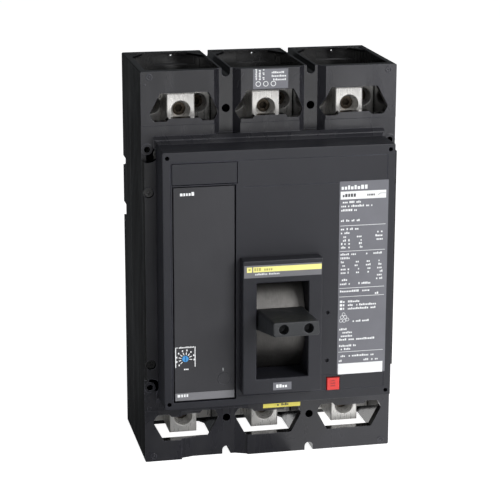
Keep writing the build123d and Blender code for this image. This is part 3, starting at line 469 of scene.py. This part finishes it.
dark = glyph_row(left + 1.8 * MM, left + 12.5 * MM, top - 12.9 * MM, 2.6 * MM, skip=0.05)
dark += glyph_row(left + 22.0 * MM, left + 29.0 * MM, top - 12.6 * MM, 2.2 * MM, skip=0.05)
dark.append(turned(rectangle(0, 2.6 * MM, -0.15 * MM, 0.15 * MM), (left + 31.0 * MM, top - 12.2 * MM), 0.6))
dark.append(rectangle(left + 33.0 * MM, left + 37.4 * MM, top - 11.0 * MM, top - 10.7 * MM))
print_piece("nameplate_dark_marks", dark, face - INK_THICKNESS, INK_DARK,
            thickness=TOP_INK_THICKNESS)

# Escutcheon band: yellow strip, small cell at its left and a short line below
low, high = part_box("escutcheon_label")
band = [rectangle(low.x + 7.3 * MM, high.x, low.z + 4.6 * MM, high.z - 1.3 * MM),
        rectangle(low.x + 2.2 * MM, low.x + 6.3 * MM, low.z + 4.6 * MM, high.z - 1.3 * MM)]
print_piece("escutcheon_band_yellow", band, low.y, INK_YELLOW)
marks = glyph_row(low.x + 8.2 * MM, low.x + 24.0 * MM, low.z + 5.7 * MM, 2.4 * MM, skip=0.1)
marks.append(rectangle(low.x + 3.4 * MM, low.x + 5.1 * MM, low.z + 6.0 * MM, low.z + 7.6 * MM))
INK_OLIVE = printed("ink_olive", (0.42, 0.39, 0.13), 0.5, seed=9.0)
print_piece("escutcheon_band_marks", marks, low.y - INK_THICKNESS, INK_OLIVE,
            thickness=TOP_INK_THICKNESS)
print_piece("escutcheon_band_line", glyph_row(low.x + 7.6 * MM, low.x + 29 * MM, low.z + 2.2 * MM, 1.5 * MM),
            low.y, INK_WHITE)

# Rating plate, trip rating label, trip unit heading and strip below the cover
low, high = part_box("rating_plate")
line = glyph_row(low.x + 2.6 * MM, high.x - 2.8 * MM, low.z + 2.0 * MM, 2.7 * MM, skip=0.0)
print_piece("rating_plate_marks", line, low.y, INK_WHITE)
low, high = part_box("trip_rating_label")
line = glyph_row(low.x + 1.8 * MM, low.x + 12.6 * MM, low.z + 3.0 * MM, 3.2 * MM, skip=0.0)
print_piece("trip_rating_marks", line, low.y, INK_WHITE)
face_low, face_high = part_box("trip_unit_face")
heading_z = face_high.z - 6.6 * MM
line = glyph_row(face_low.x + 5.4 * MM, face_low.x + 17.0 * MM, heading_z, 3.0 * MM, skip=0.0)
print_piece("trip_heading", line, face_low.y, INK_WHITE)
low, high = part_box("lower_strip_label")
line = glyph_row(low.x + 12 * MM, high.x - 9 * MM, low.z + 1.4 * MM, 2.0 * MM)
print_piece("lower_strip_marks", line, low.y, INK_DARK)

# Dial scale: a bracket, nine radial ticks with small marks at their ends, and a line of print below
low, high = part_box("trip_dial")
centre = ((low.x + high.x) / 2, (low.z + high.z) / 2)
scale_face = face_low.y
ticks = []
for i in range(9):
    angle = math.radians(225 - i * 29)
    reach = (6.9 + 0.15 * (i % 2)) * MM
    start, end = 3.4 * MM, 5.6 * MM
    ticks.append(turned(rectangle(start, end, -0.33 * MM, 0.33 * MM), centre, angle))
    out = reach + 0.3 * MM
    spot = (centre[0] + out * math.cos(angle), centre[1] + out * math.sin(angle))
    ticks.append([(spot[0] - 0.5 * MM, spot[1] - 0.7 * MM), (spot[0] + 0.5 * MM, spot[1] - 0.7 * MM),
                  (spot[0] + 0.5 * MM, spot[1] + 0.7 * MM), (spot[0] - 0.5 * MM, spot[1] + 0.7 * MM)])
bracket_x = (centre[0] - 7.9 * MM, centre[0] + 7.9 * MM)
bracket_top = centre[1] + 10.0 * MM
for x in bracket_x:
    ticks.append(rectangle(x - 0.35 * MM, x + 0.35 * MM, centre[1] - 7.0 * MM, bracket_top))
ticks.append(rectangle(bracket_x[0], bracket_x[0] + 1.8 * MM, bracket_top - 0.6 * MM, bracket_top))
ticks += glyph_row(bracket_x[0] + 2.6 * MM, bracket_x[1] - 0.4 * MM, bracket_top - 0.9 * MM, 1.3 * MM,
                   skip=0.05)
ticks += glyph_row(centre[0] - 2.6 * MM, centre[0] + 3.4 * MM, centre[1] - 9.4 * MM, 1.5 * MM, skip=0.05)
print_piece("dial_scale", ticks, scale_face, INK_WHITE)

# Trip button marks and pole label pictograms
low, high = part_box("trip_button")
press = []
for rise in (7.4, 5.2, 3.0):
    press += glyph_row(low.x + 4.2 * MM, high.x - 4.2 * MM, low.z + rise * MM + 1.2 * MM, 1.2 * MM, skip=0.0)
print_piece("trip_button_marks", press, low.y, INK_RED, body="trip_button")

low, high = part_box("pole_label")
signs = []
for i in range(3):
    signs += ring((low.x + (4.2 + 6.2 * i) * MM, low.z + 4.0 * MM), 1.9 * MM, 0.55 * MM)
for i, length in enumerate((9.0, 8.2, 8.8)):
    x = low.x + (3.2 + 3.0 * i) * MM
    for block in glyph_row(0, length * MM, 0, 1.5 * MM, skip=0.05):
        signs.append(turned(block, (x, low.z + 7.2 * MM), math.pi / 2))
for row in range(3):
    signs += glyph_row(low.x + 15.2 * MM, high.x - 1.6 * MM, high.z - (3.6 + 2.9 * row) * MM, 1.6 * MM)
print_piece("pole_label_marks", signs, low.y, INK_WHITE)

# ---------------------------------------------------------------- floor, light and camera
FLOOR_Z = cad_box[0][2]
PAPER = floor_paper("floor_paper")


def floor_sheet(name, x, y, in_reflections):
    """Flat sheet of floor between two x and two y values, cut into strips."""
    steps = 4
    mesh = bpy.data.meshes.new(name)
    shape = bmesh.new()
    rows = []
    for i in range(steps + 1):
        level = y[0] + (y[1] - y[0]) * i / steps
        rows.append([shape.verts.new((place, level, FLOOR_Z)) for place in (x[0], (x[0] + x[1]) / 2, x[1])])
    for a, b in zip(rows, rows[1:]):
        for i in range(2):
            shape.faces.new((a[i], a[i + 1], b[i + 1], b[i]))
    bmesh.ops.recalc_face_normals(shape, faces=shape.faces)
    shape.to_mesh(mesh)
    shape.free()
    sheet = bpy.data.objects.new(name, mesh)
    bpy.context.scene.collection.objects.link(sheet)
    mesh.materials.append(PAPER)
    sheet.visible_glossy = in_reflections


# The floor is white all over; some of it is kept out of reflections, so that glossy faces show a gradient
FLOOR_REACH = 6.0
BACK_SEAM = 0.0
NEAR_SEAM = -0.42
FAR_SEAM = -1.0
LEFT_SEAM = 0.02
ALL_X = (-FLOOR_REACH, FLOOR_REACH)
floor_sheet("floor_far_front", ALL_X, (-FLOOR_REACH, FAR_SEAM), True)
floor_sheet("floor_middle", ALL_X, (FAR_SEAM, NEAR_SEAM), False)
floor_sheet("floor_near_left", (-FLOOR_REACH, LEFT_SEAM), (NEAR_SEAM, BACK_SEAM), False)
floor_sheet("floor_near_right", (LEFT_SEAM, FLOOR_REACH), (NEAR_SEAM, BACK_SEAM), True)
floor_sheet("floor_back", ALL_X, (BACK_SEAM, FLOOR_REACH), False)


def area_light(name, place, aim, size, power, colour=(1, 1, 1)):
    data = bpy.data.lights.new(name, "AREA")
    data.shape = "RECTANGLE"
    data.size, data.size_y = size
    data.energy = power
    data.color = colour
    light = bpy.data.objects.new(name, data)
    light.location = place
    light.rotation_euler = (Vector(aim) - Vector(place)).to_track_quat("-Z", "Y").to_euler()
    bpy.context.scene.collection.objects.link(light)


MIDDLE = Vector((0.0, -0.08, 0.0))
area_light("key_right_high", (1.2, -1.9, 0.95), MIDDLE, (1.0, 1.0), 36)
area_light("front_fill", (-0.3, -2.6, 0.75), MIDDLE, (1.6, 1.2), 9)
area_light("top_soft", (0.0, -0.2, 2.0), MIDDLE, (1.6, 1.6), 4)

# The world is white behind the object and dim for everything it lights or is reflected in
world = bpy.data.worlds.new("studio")
bpy.context.scene.world = world
world.use_nodes = True
nodes = world.node_tree.nodes
links = world.node_tree.links
dim = nodes["Background"]
dim.inputs["Color"].default_value = (0.9, 0.95, 1, 1)
dim.inputs["Strength"].default_value = 0.07
white = nodes.new("ShaderNodeBackground")
white.inputs["Color"].default_value = (1, 1, 1, 1)
white.inputs["Strength"].default_value = 1.0
ray = nodes.new("ShaderNodeLightPath")
choice = nodes.new("ShaderNodeMixShader")
links.new(ray.outputs["Is Camera Ray"], choice.inputs[0])
links.new(dim.outputs[0], choice.inputs[1])
links.new(white.outputs[0], choice.inputs[2])
links.new(choice.outputs[0], nodes["World Output"].inputs["Surface"])

bpy.context.scene.view_settings.view_transform = "Standard"
bpy.context.scene.view_settings.look = "None"

# Camera: a long lens a metre and a half away, a little left of the breaker and above it
VIEW_AZIMUTH = math.radians(-12.19)
VIEW_ELEVATION = math.radians(15.08)
VIEW_ROLL = math.radians(0.14)
CAMERA_PLACE = Vector((-0.31819, -1.50024, 0.39948))
camera_data = bpy.data.cameras.new("photo_camera")
camera_data.sensor_width = 36.0
camera_data.lens = 130.34
camera = bpy.data.objects.new("photo_camera", camera_data)
bpy.context.scene.collection.objects.link(camera)
level = math.cos(VIEW_ELEVATION)
back = Vector((math.sin(VIEW_AZIMUTH) * level, -math.cos(VIEW_AZIMUTH) * level, math.sin(VIEW_ELEVATION)))
side = Vector((0, 0, 1)).cross(back).normalized()
up = back.cross(side)
turn = Matrix((side, up, back)).transposed() @ Matrix.Rotation(VIEW_ROLL, 3, "Z")
camera.matrix_world = Matrix.Translation(CAMERA_PLACE) @ turn.to_4x4()
bpy.context.scene.camera = camera
